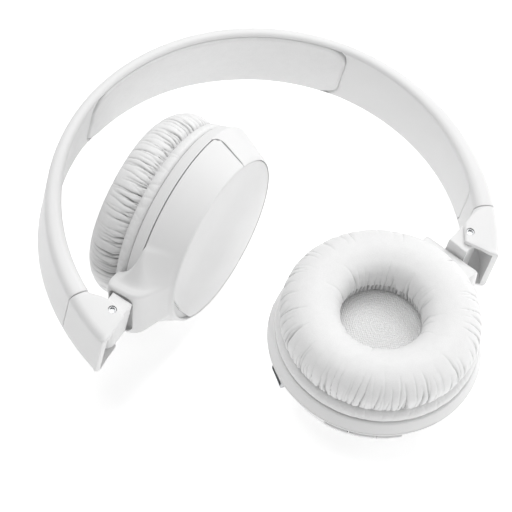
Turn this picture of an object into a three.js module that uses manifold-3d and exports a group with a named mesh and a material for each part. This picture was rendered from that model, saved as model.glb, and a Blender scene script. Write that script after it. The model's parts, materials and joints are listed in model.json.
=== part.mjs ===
// Folding wireless on-ear headphones, lying folded on a table.
// Millimetres, +Z up. +Y runs towards the crown of the headband, +X from the wearer's left to right.
//
// The band is modelled in its own plane: X across, Y towards the crown, Z through the band's width.
// Each side is modelled once, as the left side, and turned half a turn about Y for the right.
// A cup is modelled about its own axis: +X towards the cushion, +Y towards the hinge.
import * as THREE from 'three';
import { mergeVertices } from 'three/addons/utils/BufferGeometryUtils.js';
import Module from 'manifold-3d';

const wasm = await Module();
wasm.setup();

// ---- headband ----
const BAND_RADIUS = 83.3;
const CROWN_RISE = 80.1;
const CROWN_HALF_WIDTH = 15.7;
const WIDTH_TAPER = 0.0356;
const CROWN_THICKNESS = 4.0;
const ARM_THICKENING = 3.86;
const ARM_THICKENING_START = 40;
const ARM_THICKENING_SPAN = 57.3;
const SHELL_END = 99.8;
const EDGE_ROUND = 1.3;
const RIM = 1.2;
const RECESS_DEPTH = 1.6;
const RECESS_END = 94.6;
const LINER_THICKNESS = 1.25;
const PAD_BULGE = 1.6;
const PAD_HALF_LENGTH = 50;
const PAD_CORNER = 7;
const SPRING_ANGLE = 36;
const SPRING_HALF_WIDTH = 7;
const SPRING_DEPTH = 1.7;
const SPRING_THICKNESS = 0.65;
const GAP = 0.35;

// ---- slider ----
const SLIDER_START = 100.1;
const SLIDER_END = 114.3;
const SLIDER_OUTER_WALL = 2.3;
const SLIDER_SIDE_WALL = 1.6;
const TIP_CHAMFER = 0.9;
const SLOT_START = 101.9;
const SLOT_CORNER = 2.6;
const STRIP_TOP = 75.5;
const STRIP_BOTTOM = 104.4;
const STRIP_DEPTH = 2.6;
const STRIP_THICKNESS = 0.8;
const STRIP_HALF_WIDTH = 6;
const CHANNEL_TOP = 72;

// ---- fold hinge and swivel ----
const PIN_ANGLE = 108.2;
const PIN_DEPTH = 10.96;
const PIN_RADIUS = 1.45;
const PIN_BORE = 1.53;
const EAR_RADIUS = 3.3;
const KNUCKLE_RADIUS = 4;
const KNUCKLE_REACH = 7;
const POST_RADIUS = 3;
const POST_BORE = 3.08;
const SCREW_RADIUS = 1;
const WASHER_RADIUS = 4.4;
const NECK_LENGTH = 53.5;
const NECK_OFFSET = 4;

// ---- cup ----
const RING_TOP_RADIUS = 37;
const RING_RADIUS = 38.9;
const RING_BORE = 33.2;
const RING_HEIGHT = 4.7;
const COVER_TOP = -5.05;
const COVER_EDGE_RADIUS = 33.2;
const COVER_EDGE = -16.8;
const FACE = -17.9;
const PLATE_SEAT = -16.7;
const PLATE_RADIUS = 31.6;
const PLATE_BORE = 32;
const WALL = 1.9;
const COVER_FLOOR = -15.5;
const TAIL_HALF_ANGLE = 66;
const NECK_END = 46.1;
const NECK_HALF_WIDTH = 12;
const NECK_CORNER = 3;
const NECK_TOP = 2;
const NECK_BOTTOM = -10.2;
const MOUTH_FLOOR = 43.7;
const MOUTH_HALF_WIDTH = 10.2;
const MOUTH_HALF_HEIGHT = 4.8;
const POST_WALL = 1.8;

// ---- controls on the right cup ----
const BUTTON_NAMES = ['volume_down_button', 'play_button', 'volume_up_button'];
const BUTTON_CENTRE = 31;
const BUTTON_PITCH = 14.6;
const BUTTON_TOP = -5.9;
const BUTTON_BOTTOM = -11.6;
const BUTTON_PROUD = 0.8;
const PORT_ANGLE = -31;
const PORT_LEVEL = -11;

// ---- folded pose ----
const BAND_TURN = 19.659;
const BAND_PITCH = 3.664;
const BAND_ROLL = 14.096;
const LEFT_FOLD = 128.76;
const LEFT_SWIVEL = 8.89;
const RIGHT_FOLD = 58.02;
const RIGHT_SWIVEL = 85.54;

const rad = THREE.MathUtils.degToRad;
const finish = (color, roughness, metalness = 0) => () =>
  new THREE.MeshStandardMaterial({ color, roughness, metalness });
const shellPlastic = finish(0xe9e9e7, 0.42);
const platePlastic = finish(0xe4e4e3, 0.35);
const leatherette = finish(0xe6e5e3, 0.55);
const cloth = finish(0xb9b9b8, 0.9);
const steel = finish(0xb4b6b8, 0.3, 1);
const darkPlastic = finish(0x3a3b3d, 0.5);
const boardGreen = finish(0x1f5a3c, 0.5);
const cellWrap = finish(0x5c6b7a, 0.4);
const membrane = finish(0x8a8f94, 0.4);

const BAND_STEP = 3.33;
const CUP_SIDES = 48;
const HIDDEN_SIDES = 36;

// ---------- solids ----------
function solid(geometry) {
  const plain = geometry.index ? geometry.toNonIndexed() : geometry.clone();
  plain.deleteAttribute('normal');
  plain.deleteAttribute('uv');
  const merged = mergeVertices(plain, 1e-4);
  return new wasm.Manifold(new wasm.Mesh({
    numProp: 3,
    vertProperties: new Float32Array(merged.attributes.position.array),
    triVerts: new Uint32Array(merged.index.array),
  }));
}

function part(name, body, material) {
  const mesh = body.getMesh();
  const geometry = new THREE.BufferGeometry();
  geometry.setAttribute('position', new THREE.BufferAttribute(new Float32Array(mesh.vertProperties), 3));
  geometry.setIndex(new THREE.BufferAttribute(new Uint32Array(mesh.triVerts), 1));
  geometry.computeVertexNormals();
  const node = new THREE.Mesh(geometry, material());
  node.name = name;
  return node;
}

function extruded(points, from, to, bevel = 0, segments = 2) {
  const geometry = new THREE.ExtrudeGeometry(new THREE.Shape(points), {
    depth: to - from - 2 * bevel,
    steps: 1,
    curveSegments: 12,
    bevelEnabled: bevel > 0,
    bevelThickness: bevel,
    bevelSize: bevel,
    bevelOffset: -bevel,
    bevelSegments: segments,
  });
  return geometry.translate(0, 0, from + bevel);
}

function roundedRectangle(halfX, halfY, radius, x = 0, y = 0, steps = 6) {
  const points = [];
  for (const [sx, sy, start] of [[1, 1, 0], [-1, 1, 90], [-1, -1, 180], [1, -1, 270]]) {
    for (let i = 0; i <= steps; i += 1) {
      const angle = rad(start + (90 * i) / steps);
      points.push(new THREE.Vector2(
        x + sx * (halfX - radius) + radius * Math.cos(angle),
        y + sy * (halfY - radius) + radius * Math.sin(angle),
      ));
    }
  }
  return points;
}

function cylinder(radius, from, to, axis, centre = [0, 0], sides = 32) {
  const geometry = new THREE.CylinderGeometry(radius, radius, to - from, sides);
  geometry.translate(0, (from + to) / 2, 0);
  if (axis === 'x') geometry.rotateZ(-Math.PI / 2).translate(0, centre[0], centre[1]);
  if (axis === 'y') geometry.translate(centre[0], 0, centre[1]);
  if (axis === 'z') geometry.rotateX(Math.PI / 2).translate(centre[0], centre[1], 0);
  return solid(geometry);
}

function box(low, high) {
  const size = high.map((value, i) => value - low[i]);
  const middle = high.map((value, i) => (value + low[i]) / 2);
  return solid(new THREE.BoxGeometry(...size).translate(...middle));
}

// A solid of revolution about the cup axis, from [radius, height] pairs.
function turned(profile, segments = CUP_SIDES) {
  const points = profile.map(([radius, height]) => new THREE.Vector2(radius, height));
  points.push(points[0].clone());
  const body = solid(new THREE.LatheGeometry(points, segments).rotateZ(-Math.PI / 2));
  return body.volume() < 0
    ? solid(new THREE.LatheGeometry(points.reverse(), segments).rotateZ(-Math.PI / 2))
    : body;
}

// A wedge of the cup, in degrees measured from the end away from the hinge.
function wedge(from, to, low, high, reach = 60) {
  const points = [new THREE.Vector2(0, 0)];
  const steps = Math.max(2, Math.ceil((to - from) / 20));
  for (let i = 0; i <= steps; i += 1) {
    const angle = rad(from + ((to - from) * i) / steps);
    points.push(new THREE.Vector2(reach * Math.sin(angle), -reach * Math.cos(angle)));
  }
  return solid(alongCupAxis(extruded(points, low, high)));
}

// Turns a shape drawn as (across, towards the hinge) and extruded in Z to run along the cup axis.
function alongCupAxis(geometry) {
  const turn = new THREE.Matrix4().makeBasis(
    new THREE.Vector3(0, 0, -1), new THREE.Vector3(0, 1, 0), new THREE.Vector3(1, 0, 0));
  return geometry.applyMatrix4(turn);
}

// ---------- headband ----------
const bandThickness = (degrees) => CROWN_THICKNESS + ARM_THICKENING
  * THREE.MathUtils.clamp((Math.abs(degrees) - ARM_THICKENING_START) / ARM_THICKENING_SPAN, 0, 1.2);
const bandHalfWidth = (y) => CROWN_HALF_WIDTH - (CROWN_RISE - y) * WIDTH_TAPER;

function bandPoint(degrees, depth) {
  const angle = rad(degrees);
  const rise = Math.abs(degrees) < 90 ? CROWN_RISE : BAND_RADIUS;
  const along = new THREE.Vector2(BAND_RADIUS * Math.cos(angle), -rise * Math.sin(angle)).normalize();
  return new THREE.Vector2(
    BAND_RADIUS * Math.sin(angle) + depth * along.y,
    rise * Math.cos(angle) - depth * along.x,
  );
}

function trackPoint(degrees, depth) {
  const angle = rad(degrees);
  const radius = BAND_RADIUS - depth;
  return new THREE.Vector2(radius * Math.sin(angle), radius * Math.cos(angle));
}

// A plate that follows the band between two depths below its outer face, narrowing with the band.
function bandPlate(from, to, outer, inner, halfWidth, bevel = 0, step = BAND_STEP, point = bandPoint) {
  const count = Math.max(2, Math.round((to - from) / step));
  const angles = Array.from({ length: count + 1 }, (_, i) => from + ((to - from) * i) / count);
  const depth = (value, degrees) => (typeof value === 'function' ? value(degrees) : value);
  const points = angles.map((degrees) => point(degrees, depth(outer, degrees)));
  points.push(...angles.reverse().map((degrees) => point(degrees, depth(inner, degrees))));
  const geometry = extruded(points.reverse(), -halfWidth, halfWidth, bevel);
  const position = geometry.attributes.position;
  for (let i = 0; i < position.count; i += 1) {
    position.setZ(i, (position.getZ(i) * bandHalfWidth(position.getY(i))) / CROWN_HALF_WIDTH);
  }
  return solid(geometry);
}

function padOutline(grow) {
  const points = roundedRectangle(PAD_HALF_LENGTH + grow, CROWN_HALF_WIDTH - RIM + grow, PAD_CORNER + grow);
  return solid(extruded(points, -CROWN_RISE - 10, -30).rotateX(Math.PI / 2));
}

function makeHeadband() {
  const group = new THREE.Group();
  const recessHalf = CROWN_HALF_WIDTH - RIM;
  const floor = (degrees) => bandThickness(degrees) - RECESS_DEPTH;
  const beyond = (degrees) => bandThickness(degrees) + 4;
  let shell = bandPlate(-SHELL_END, SHELL_END, 0, bandThickness, CROWN_HALF_WIDTH, EDGE_ROUND);
  const recess = bandPlate(-RECESS_END, RECESS_END, floor, beyond, recessHalf);
  shell = shell.subtract(recess);
  shell = shell.subtract(bandPlate(-SPRING_ANGLE - 1, SPRING_ANGLE + 1, SPRING_DEPTH - GAP + 0.1,
    CROWN_THICKNESS, SPRING_HALF_WIDTH + GAP));
  for (const side of [-1, 1]) {
    const ends = [side * CHANNEL_TOP, side * (SHELL_END + 2)].sort((a, b) => a - b);
    shell = shell.subtract(bandPlate(ends[0], ends[1], STRIP_DEPTH - GAP,
      STRIP_DEPTH + STRIP_THICKNESS + GAP, STRIP_HALF_WIDTH + 2 * GAP, 0, BAND_STEP, trackPoint));
  }
  group.add(part('headband_shell', shell, shellPlastic));

  group.add(part('headband_spring', bandPlate(-SPRING_ANGLE, SPRING_ANGLE, SPRING_DEPTH,
    SPRING_DEPTH + SPRING_THICKNESS, SPRING_HALF_WIDTH, 0, BAND_STEP), steel));

  const linerBack = (degrees) => bandThickness(degrees) - LINER_THICKNESS;
  const padFace = (degrees) => bandThickness(degrees) + PAD_BULGE;
  const pad = bandPlate(-60, 60, linerBack, padFace, recessHalf - GAP, 1.1).intersect(padOutline(-GAP / 2));
  group.add(part('headband_pad', pad, leatherette));
  for (const side of [-1, 1]) {
    const ends = [side * 20, side * (RECESS_END - 0.3)].sort((a, b) => a - b);
    const liner = bandPlate(ends[0], ends[1], linerBack, bandThickness, recessHalf - GAP)
      .subtract(padOutline(GAP / 2));
    group.add(part(side < 0 ? 'inner_liner_left' : 'inner_liner_right', liner, shellPlastic));
  }
  return group;
}

// ---------- slider, pin and knuckle ----------
const pinCentre = trackPoint(-PIN_ANGLE, PIN_DEPTH);
const pinHalfWidth = bandHalfWidth(pinCentre.y);
const knuckleHalfWidth = pinHalfWidth - SLIDER_SIDE_WALL - 0.3;

function makeSlider(side) {
  const group = new THREE.Group();
  const deep = (degrees) => bandThickness(degrees);
  let housing = bandPlate(-SLIDER_END, -SLIDER_START, 0, deep, CROWN_HALF_WIDTH, EDGE_ROUND - 0.1, 1.8);
  const slotHalf = ((pinHalfWidth - SLIDER_SIDE_WALL) * CROWN_HALF_WIDTH) / pinHalfWidth;
  const slotTop = BAND_RADIUS * Math.cos(rad(SLOT_START));
  const outline = roundedRectangle(50, pinHalfWidth - SLIDER_SIDE_WALL + 0.1, SLOT_CORNER, slotTop - 50, 0);
  const turn = new THREE.Matrix4().makeBasis(
    new THREE.Vector3(0, 1, 0), new THREE.Vector3(0, 0, 1), new THREE.Vector3(1, 0, 0));
  const slotPrism = solid(extruded(outline, -120, 0).applyMatrix4(turn));
  const slot = bandPlate(-SLIDER_END - 6, -SLOT_START + 4, SLIDER_OUTER_WALL, 30, slotHalf, 0, 1.8, trackPoint)
    .intersect(slotPrism);

  const radial = Math.atan2(pinCentre.y, pinCentre.x);
  for (const face of [-1, 1]) {
    const low = face > 0 ? pinHalfWidth - SLIDER_SIDE_WALL + 0.05 : -pinHalfWidth + 0.15;
    const high = face > 0 ? pinHalfWidth - 0.15 : -pinHalfWidth + SLIDER_SIDE_WALL - 0.05;
    const bridge = box([0, -EAR_RADIUS, low], [5, EAR_RADIUS, high])
      .rotate([0, 0, THREE.MathUtils.radToDeg(radial)])
      .translate([pinCentre.x, pinCentre.y, 0]);
    const ear = cylinder(EAR_RADIUS, low, high, 'z', [pinCentre.x, pinCentre.y]);
    housing = housing.add(ear).add(bridge);
  }
  housing = housing.subtract(slot);
  housing = housing.subtract(bandPlate(-STRIP_BOTTOM - 0.6, -SHELL_END, STRIP_DEPTH - GAP,
    STRIP_DEPTH + STRIP_THICKNESS + GAP, STRIP_HALF_WIDTH + 2 * GAP, 0, 1.8, trackPoint));
  housing = housing.subtract(cylinder(PIN_BORE, -20, 20, 'z', [pinCentre.x, pinCentre.y], 48));
  const tip = trackPoint(-SLIDER_END, 0);
  const tipDirection = THREE.MathUtils.radToDeg(Math.atan2(tip.y - pinCentre.y, tip.x - pinCentre.x));
  housing = housing.subtract(box([-TIP_CHAMFER, -8, -20], [8, 8, 20])
    .rotate([0, 0, tipDirection])
    .translate([tip.x, tip.y, 0]));
  group.add(part(`slider_housing_${side}`, housing, shellPlastic));

  const strip = bandPlate(-STRIP_BOTTOM, -STRIP_TOP, STRIP_DEPTH, STRIP_DEPTH + STRIP_THICKNESS,
    STRIP_HALF_WIDTH, 0, BAND_STEP, trackPoint);
  group.add(part(`slider_strip_${side}`, strip, steel));
  const pin = cylinder(PIN_RADIUS, -pinHalfWidth + 0.35, pinHalfWidth - 0.35, 'z',
    [pinCentre.x, pinCentre.y], 48);
  group.add(part(`fold_pin_${side}`, pin, steel));
  return group;
}

function makeKnuckle(side) {
  const group = new THREE.Group();
  const outline = [];
  for (let i = 0; i <= 12; i += 1) {
    const angle = rad((180 * i) / 12);
    outline.push(new THREE.Vector2(KNUCKLE_RADIUS * Math.cos(angle), KNUCKLE_RADIUS * Math.sin(angle)));
  }
  outline.push(new THREE.Vector2(-KNUCKLE_RADIUS, -KNUCKLE_REACH));
  outline.push(new THREE.Vector2(KNUCKLE_RADIUS, -KNUCKLE_REACH));
  const postEnd = -(NECK_LENGTH - MOUTH_FLOOR + POST_WALL) - 0.1;
  let body = solid(extruded(outline, -knuckleHalfWidth, knuckleHalfWidth, 0.4, 2));
  body = body.add(cylinder(POST_RADIUS, postEnd, -KNUCKLE_REACH + 1, 'y', [0, 0], 40));
  body = body.subtract(cylinder(PIN_BORE, -20, 20, 'z', [0, 0], 48));
  body = body.subtract(cylinder(SCREW_RADIUS + 0.1, postEnd - 1, postEnd + 4.5, 'y', [0, 0], 24));
  group.add(part(`knuckle_${side}`, body, shellPlastic));

  const screw = cylinder(WASHER_RADIUS, postEnd - 1.3, postEnd - 0.1, 'y', [0, 0], 32)
    .add(cylinder(SCREW_RADIUS, postEnd - 0.5, postEnd + 3.8, 'y', [0, 0], 24));
  group.add(part(`swivel_screw_${side}`, screw, steel));
  return group;
}

// ---------- cup ----------
const coneOuter = [[RING_RADIUS, COVER_TOP], [COVER_EDGE_RADIUS, COVER_EDGE], [COVER_EDGE_RADIUS - 0.35, -17.5],
  [COVER_EDGE_RADIUS - 0.9, FACE], [PLATE_BORE, FACE]];

function neckBody() {
  const flare = [[NECK_HALF_WIDTH, NECK_END], [NECK_HALF_WIDTH, 43], [13.4, 41.2], [16, 38.5], [20.5, 34.5], [26, 28.5], [29.5, 22], [29.5, 8]];
  const right = flare.map(([across, along]) => new THREE.Vector2(across, along));
  const left = flare.map(([across, along]) => new THREE.Vector2(-across, along)).reverse();
  const geometry = extruded([...right, ...left].reverse(), NECK_BOTTOM, NECK_TOP, 2.6, 4);
  const position = geometry.attributes.position;
  const middle = (NECK_TOP + NECK_BOTTOM) / 2;
  for (let i = 0; i < position.count; i += 1) {
    const drop = THREE.MathUtils.clamp((NECK_END - 1 - position.getY(i)) / 13, 0, 1);
    const below = Math.max(0, middle - position.getZ(i)) / (middle - NECK_BOTTOM);
    position.setZ(i, position.getZ(i) - below * drop * 6.1);
  }
  const roundedEnd = roundedRectangle(NECK_HALF_WIDTH, 30, NECK_CORNER, 0, NECK_END - 30);
  const corners = solid(alongCupAxis(extruded(roundedEnd, -40, 40))).add(box([-40, -10, -40], [40, 43, 40]));
  return solid(alongCupAxis(geometry)).intersect(corners);
}

function makeCup(side) {
  const group = new THREE.Group();
  const tail = (margin, low, high) => wedge(-TAIL_HALF_ANGLE - margin, TAIL_HALF_ANGLE + margin, low, high);

  // Outer cover: a cone with a flat seat for the face plate, its neck, and the tail cut away.
  let cover = turned([[0, PLATE_SEAT], [PLATE_BORE, PLATE_SEAT], ...[...coneOuter].reverse(),
    [RING_RADIUS - WALL, COVER_TOP], [COVER_EDGE_RADIUS - WALL, COVER_FLOOR], [0, COVER_FLOOR]]);
  const inside = turned([[0, PLATE_SEAT], [COVER_EDGE_RADIUS - WALL, COVER_FLOOR],
    [RING_RADIUS - WALL, COVER_TOP], [RING_RADIUS - WALL, 10], [0, 10]]);
  const ringSpace = turned([[0, COVER_TOP], [RING_RADIUS + 0.4, COVER_TOP], [RING_RADIUS + 0.4, 10], [0, 10]]);
  const outerCone = turned([[0, FACE - 5], [COVER_EDGE_RADIUS - 0.9, FACE - 5], [COVER_EDGE_RADIUS - 0.9, FACE],
    [COVER_EDGE_RADIUS, COVER_EDGE], [60, COVER_EDGE + 24], [60, 10], [0, 10]]);
  const neck = neckBody().subtract(inside).subtract(ringSpace).intersect(outerCone);
  cover = cover.add(neck);
  cover = cover.subtract(tail(0, -30, 0).subtract(cylinder(PLATE_RADIUS, -40, 10, 'x', [0, 0], CUP_SIDES)));
  const mouth = roundedRectangle(MOUTH_HALF_WIDTH, MOUTH_HALF_HEIGHT, 3.2, 0, -NECK_OFFSET - 0.1);
  const mouthTurn = new THREE.Matrix4().makeBasis(
    new THREE.Vector3(0, 0, 1), new THREE.Vector3(1, 0, 0), new THREE.Vector3(0, 1, 0));
  cover = cover.subtract(solid(extruded(mouth, MOUTH_FLOOR, NECK_END + 5).applyMatrix4(mouthTurn)));
  cover = cover.subtract(cylinder(POST_BORE, 30, NECK_END, 'y', [-NECK_OFFSET, 0], 40));
  cover = cover.subtract(box([-8.7, 39.9, -5], [0.7, MOUTH_FLOOR - POST_WALL, 5]));
  cover = cover.subtract(box([-8.7, 28, -5], [COVER_TOP + 0.2, 41, 5]));
  group.add(part(`outer_cover_${side}`, cover, shellPlastic));

  const plate = cylinder(PLATE_RADIUS, FACE + 0.1, PLATE_SEAT - 0.3, 'x', [0, 0], 72);
  group.add(part(`face_plate_${side}`, plate, platePlastic));

  // Housing ring, which runs down to the face at the end away from the hinge.
  let ring = turned([[RING_BORE, 0], [RING_BORE, -RING_HEIGHT], [RING_RADIUS - 0.06, -RING_HEIGHT],
    [RING_TOP_RADIUS + 0.3, -0.3], [RING_TOP_RADIUS - 0.1, 0]]);
  const slope = (RING_RADIUS - COVER_EDGE_RADIUS) / (COVER_TOP - COVER_EDGE);
  const wallAt = (height, inset) => COVER_EDGE_RADIUS + (height - COVER_EDGE) * slope - inset;
  const tailWall = turned([[wallAt(-4.4, WALL), -4.4], [PLATE_BORE, -14.8], [PLATE_BORE, FACE],
    ...[...coneOuter].reverse().slice(1, 4), [wallAt(-4.4, 0.1), -4.4]]);
  ring = ring.add(tailWall.intersect(tail(-0.5, -30, 0)));
  const controls = [];
  if (side === 'right') {
    BUTTON_NAMES.forEach((name, i) => {
      const centre = BUTTON_CENTRE + (i - 1) * BUTTON_PITCH;
      const reach = BUTTON_PITCH / 2 - 0.45;
      const window = turned([[28, BUTTON_BOTTOM - 0.3], [28, BUTTON_TOP + 0.3], [45, BUTTON_TOP + 0.3],
        [45, BUTTON_BOTTOM - 0.3]]).intersect(wedge(centre - reach, centre + reach, -20, 0));
      ring = ring.subtract(window);
      const cap = turned([[wallAt(BUTTON_BOTTOM, 2.6), BUTTON_BOTTOM], [wallAt(BUTTON_TOP, 2.6), BUTTON_TOP],
        [wallAt(BUTTON_TOP, 0), BUTTON_TOP], [wallAt(BUTTON_TOP - 0.5, -BUTTON_PROUD), BUTTON_TOP - 0.5],
        [wallAt(BUTTON_BOTTOM + 0.5, -BUTTON_PROUD), BUTTON_BOTTOM + 0.5], [wallAt(BUTTON_BOTTOM, 0), BUTTON_BOTTOM]])
        .intersect(wedge(centre - reach + 0.5, centre + reach - 0.5, -20, 0));
      controls.push(part(name, cap, shellPlastic));
    });
    const port = box([PORT_LEVEL - 1.6, -37.2, -4.5], [PORT_LEVEL + 1.6, -29.5, 4.5])
      .subtract(box([PORT_LEVEL - 1.25, -40, -4.1], [PORT_LEVEL + 1.25, -30.2, 4.1]))
      .rotate([PORT_ANGLE, 0, 0]);
    ring = ring.subtract(box([PORT_LEVEL - 1.9, -45, -4.8], [PORT_LEVEL + 1.9, -30, 4.8]).rotate([PORT_ANGLE, 0, 0]));
    group.add(part('charging_port', port, steel));
  }
  group.add(part(`housing_ring_${side}`, ring, shellPlastic));
  controls.forEach((control) => group.add(control));

  // Driver and what carries it.
  const baffle = turned([[17.2, -3.4], [32.8, -3.4], [32.8, -1.8], [17.2, -1.8]],
    HIDDEN_SIDES);
  group.add(part(`baffle_${side}`, baffle, darkPlastic));
  const frame = turned([[8.4, -8.2], [16.8, -8.2], [16.8, -1.4], [18.8, -1.4], [18.8, -0.6], [14.6, -0.6],
    [14.6, -7.2], [8.4, -7.2]], HIDDEN_SIDES);
  group.add(part(`driver_frame_${side}`, frame, darkPlastic));
  group.add(part(`driver_magnet_${side}`, cylinder(8, -11.2, -5.6, 'x', [0, 0], 40), steel));
  const dome = [[0, -1.3], [3, -1.5], [6.5, -2.6], [10, -1.7], [14.2, -2.4]];
  const underside = dome.map(([radius, height]) => [radius, height - 0.4]).reverse();
  group.add(part(`driver_diaphragm_${side}`, turned([...dome, ...underside].reverse(), HIDDEN_SIDES), membrane));
  let grille = turned([[0, 3], [19.3, 3], [19.3, -0.2], [20.6, -0.2], [20.6, 4], [0, 4]], HIDDEN_SIDES);
  for (const [count, radius] of [[6, 6], [12, 12.5]]) {
    for (let i = 0; i < count; i += 1) {
      const angle = (2 * Math.PI * i) / count;
      grille = grille.subtract(cylinder(1.6, 2, 5, 'x', [radius * Math.cos(angle), radius * Math.sin(angle)], 10));
    }
  }
  group.add(part(`driver_grille_${side}`, grille, darkPlastic));
  group.add(part(`driver_cloth_${side}`, cylinder(19.4, 4.3, 4.7, 'x', [0, 0], 48), cloth));

  // Cushion, its skirt and the plate that clips it to the cup.
  group.add(part(`cushion_plate_${side}`, turned([[21.4, 0.4], [32.9, 0.4], [32.9, 2], [21.4, 2]],
    HIDDEN_SIDES), darkPlastic));
  group.add(part(`cushion_skirt_${side}`, turned([[33.3, 0.35], [36.4, 0.35], [36.8, 1.2], [36.3, 3.4],
    [35.3, 4.9], [33.3, 4.9]]), leatherette));
  const cushion = [[21.6, 2.4], [32.9, 2.4], [32.9, 4.9], [34.4, 5.4], [35.5, 7.4], [35.9, 10.6], [35.3, 14],
    [33.4, 17.2], [30.4, 19], [26.5, 19.6], [22.6, 19.1], [19, 17.5], [16.4, 15], [15, 12], [15, 8.6], [15.8, 5.6],
    [21.6, 5.1]];
  group.add(part(`ear_cushion_${side}`, turned(cushion), leatherette));

  if (side === 'left') {
    group.add(part('battery', box([-15.1, -15, -11], [-11.8, 15, 11]), cellWrap));
  } else {
    group.add(part('circuit_board', box([-13.4, -17, -14], [-12.2, 17, 14]), boardGreen));
  }
  return group;
}

// ---------- assembly ----------
function makeSide(side, fold, swivel) {
  const sideGroup = new THREE.Group();
  sideGroup.add(makeSlider(side));
  const knuckle = makeKnuckle(side);
  knuckle.position.set(pinCentre.x, pinCentre.y, 0);
  knuckle.rotation.z = rad(fold);
  const swivelGroup = new THREE.Group();
  swivelGroup.rotation.y = rad(swivel);
  const cup = makeCup(side);
  cup.position.set(NECK_OFFSET, -NECK_LENGTH, 0);
  swivelGroup.add(cup);
  knuckle.add(swivelGroup);
  sideGroup.add(knuckle);
  if (side === 'right') sideGroup.rotation.y = Math.PI;
  return sideGroup;
}

const band = new THREE.Group();
band.add(makeHeadband());
band.add(makeSide('left', LEFT_FOLD, LEFT_SWIVEL));
band.add(makeSide('right', RIGHT_FOLD, RIGHT_SWIVEL));
band.rotation.set(rad(BAND_PITCH), rad(BAND_ROLL), rad(BAND_TURN), 'YXZ');

// Stand the headphones on the table, centred over the origin.
const headphones = new THREE.Group();
headphones.name = 'headphones';
headphones.add(band);
headphones.updateMatrixWorld(true);
const bounds = new THREE.Box3().setFromObject(headphones, true);
const middle = bounds.getCenter(new THREE.Vector3());
band.position.set(-middle.x, -middle.y, -bounds.min.z);
headphones.updateMatrixWorld(true);

export default headphones;
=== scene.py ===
import json
import math

import bmesh
import bpy
import numpy as np
from mathutils import Matrix, Vector


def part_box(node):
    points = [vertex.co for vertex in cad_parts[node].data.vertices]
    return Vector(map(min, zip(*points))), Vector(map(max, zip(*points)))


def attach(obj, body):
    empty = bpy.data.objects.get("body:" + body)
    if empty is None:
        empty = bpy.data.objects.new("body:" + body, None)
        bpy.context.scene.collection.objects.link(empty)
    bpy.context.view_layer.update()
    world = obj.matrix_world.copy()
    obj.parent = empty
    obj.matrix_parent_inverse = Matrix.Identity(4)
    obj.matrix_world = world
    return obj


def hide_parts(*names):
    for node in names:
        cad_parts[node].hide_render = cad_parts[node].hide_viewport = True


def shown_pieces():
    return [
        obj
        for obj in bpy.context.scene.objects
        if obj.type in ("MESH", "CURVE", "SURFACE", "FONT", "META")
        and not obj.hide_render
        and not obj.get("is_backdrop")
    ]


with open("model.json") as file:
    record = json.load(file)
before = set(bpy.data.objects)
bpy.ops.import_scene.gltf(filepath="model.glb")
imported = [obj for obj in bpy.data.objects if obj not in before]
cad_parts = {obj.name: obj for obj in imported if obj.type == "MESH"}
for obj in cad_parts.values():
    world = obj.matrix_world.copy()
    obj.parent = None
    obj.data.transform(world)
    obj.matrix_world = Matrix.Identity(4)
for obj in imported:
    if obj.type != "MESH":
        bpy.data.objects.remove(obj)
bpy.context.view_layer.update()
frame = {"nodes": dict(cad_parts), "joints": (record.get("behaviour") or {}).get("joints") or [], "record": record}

# Lengths below are in millimetres in each part's own axes, as in the part's source.
MM = 0.001
SEED = 7

# ---- headband ----
BAND_RADIUS = 83.3
CROWN_RISE = 80.1
CROWN_HALF_WIDTH = 15.7
WIDTH_TAPER = 0.0356
CROWN_THICKNESS = 4.0
ARM_THICKENING = 3.86
ARM_THICKENING_START = 40
ARM_THICKENING_SPAN = 57.3
SHELL_END = 99.8
RIM = 1.2
RECESS_DEPTH = 1.6
RECESS_END = 94.6
LINER_CORNER = 5.0
LINER_START = 33
COVER_DEPTH = 1.45
PAD_HALF_LENGTH = 50.0
PAD_CORNER = 7.0
SEAM_GAP = 0.3
PAD_BULGE = 0.8

# ---- slider and hinge ----
SLIDER_START = 100.1
SLIDER_END = 114.3
SLIDER_OUTER_WALL = 2.3
SLIDER_SIDE_WALL = 1.6
SLOT_START = 101.9
PIN_ANGLE = 108.2
PIN_DEPTH = 10.96
PIN_RADIUS = 1.45
PIN_SINK = 0.4
PIN_BORE = 0.95
PIN_BORE_DEPTH = 0.7
BOSS_DEPTH = 13.0
BOSS_END = 111.4
TIP_DEPTH = 2.9
EDGE_SOFTENING = 0.9

# ---- cup ----
NECK_OFFSET = 4.0
NECK_LENGTH = 53.5
NECK_END = 46.1
NECK_HALF_WIDTH = 12.0
NECK_TOP = 2.0
NECK_BOTTOM = -10.3
NECK_ROOT = 39.25
MOUTH_FLOOR = 43.7
MOUTH_HALF_WIDTH = 10.2
MOUTH_HALF_HEIGHT = 4.8
RING_TOP_RADIUS = 37.2
RING_RADIUS = 38.9
COVER_TOP = -5.05
COVER_EDGE_RADIUS = 33.2
COVER_EDGE = -16.8
FACE = -17.9
PLATE_RADIUS = 31.6
PLATE_EDGE = 31.88
CRESCENT_WIDTH = 2.3
CRESCENT_REACH = 0.36
CRESCENT_ANGLE = 0.42
PLATE_BORE = 32.0
TAIL_HALF_ANGLE = 66.0
TAIL_FILLET = 4.2
SIDES = 288
BUTTONS = ("volume_down_button", "play_button", "volume_up_button")
BUTTON_WINDOW = 1.09
PORT_WINDOW = 1.01

# ---- cushion ----
CUSHION_OUTER = 35.9
CUSHION_INNER = 15.0
CUSHION_BASE = 5.2
CUSHION_CROWN = 19.6
CUSHION_SIDES = 900
CUSHION_ROWS = 100
CUSHION_SEEDS = {"left": 11, "right": 23}
BINDING_STITCHES = 64
CLOTH_RADIUS = 19.3
# Painted shade: the dark colour that the leatherette is mixed towards in the cushions' creases.
FOLD_SHADE = (0.22, 0.22, 0.22)


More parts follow.
